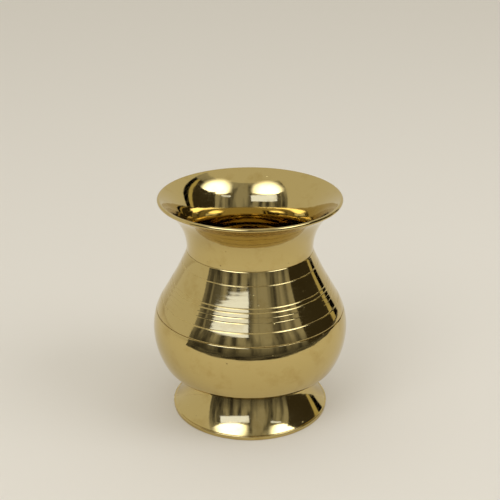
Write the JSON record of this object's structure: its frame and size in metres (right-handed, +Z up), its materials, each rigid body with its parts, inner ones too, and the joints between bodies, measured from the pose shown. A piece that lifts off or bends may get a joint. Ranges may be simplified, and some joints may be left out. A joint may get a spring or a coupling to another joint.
{
  "type": "lota",
  "caption": "Round-bellied polished brass water pot with a narrow neck, a flared mouth, turned shoulder lines and a hollow flared foot.",
  "frame": {"origin": "centre of the circle on which the foot stands", "axes": "+Z up along the axis of the pot, the mouth at the top"},
  "size_m": [0.0868, 0.0868, 0.1008],
  "materials": {
    "polished_brass": "polished",
    "brazing_brass": "dull"
  },
  "bodies": {
    "root": {"mouth_and_neck": "polished_brass", "upper_bowl": "polished_brass", "lower_bowl": "polished_brass", "foot_ring": "polished_brass", "neck_braze": "brazing_brass", "belly_braze": "brazing_brass", "foot_braze": "brazing_brass"}
  },
  "joints": []
}
